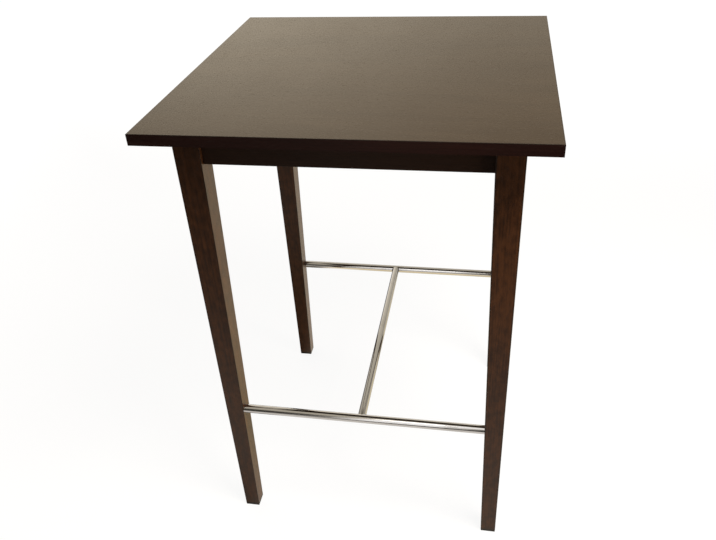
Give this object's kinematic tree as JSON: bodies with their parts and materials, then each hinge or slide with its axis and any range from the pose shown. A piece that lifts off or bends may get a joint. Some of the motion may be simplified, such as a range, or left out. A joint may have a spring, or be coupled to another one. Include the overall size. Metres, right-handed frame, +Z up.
{
  "type": "pub table",
  "caption": "Tall square pub table with a dark wood slab top, tapered square legs, a recessed apron frame and a chromed H-shaped foot rail.",
  "frame": {"origin": "on the floor, under the middle of the top", "axes": "+Z up, +Y to the back, away from the viewer, +X to the viewer's right, along the foot rails"},
  "size_m": [0.75, 0.75, 1.06],
  "materials": {
    "stained_wood": "espresso stain under satin lacquer",
    "top_veneer": "espresso-stained veneer under satin lacquer",
    "bare_wood": "sawn hardwood, unfinished",
    "zinc_steel": "bright zinc plate",
    "chrome": "polished chrome plate",
    "glide_plastic": "black moulded plastic"
  },
  "bodies": {
    "root": {"top_core": "stained_wood", "face_veneer": "top_veneer", "lipping_front": "stained_wood", "lipping_right": "stained_wood", "lipping_back": "stained_wood", "lipping_left": "stained_wood", "leg_front_left": "stained_wood", "leg_front_right": "stained_wood", "leg_back_right": "stained_wood", "leg_back_left": "stained_wood", "apron_front": "stained_wood", "apron_right": "stained_wood", "apron_back": "stained_wood", "apron_left": "stained_wood", "corner_block_front_left": "bare_wood", "corner_block_front_right": "bare_wood", "corner_block_back_right": "bare_wood", "corner_block_back_left": "bare_wood", "hanger_bolts": "zinc_steel", "bolt_nuts": "zinc_steel", "top_screws": "zinc_steel", "foot_rail_front": "chrome", "foot_rail_back": "chrome", "stretcher": "chrome", "rail_plugs": "zinc_steel", "rail_bolts": "zinc_steel", "glides": "glide_plastic"}
  },
  "joints": []
}
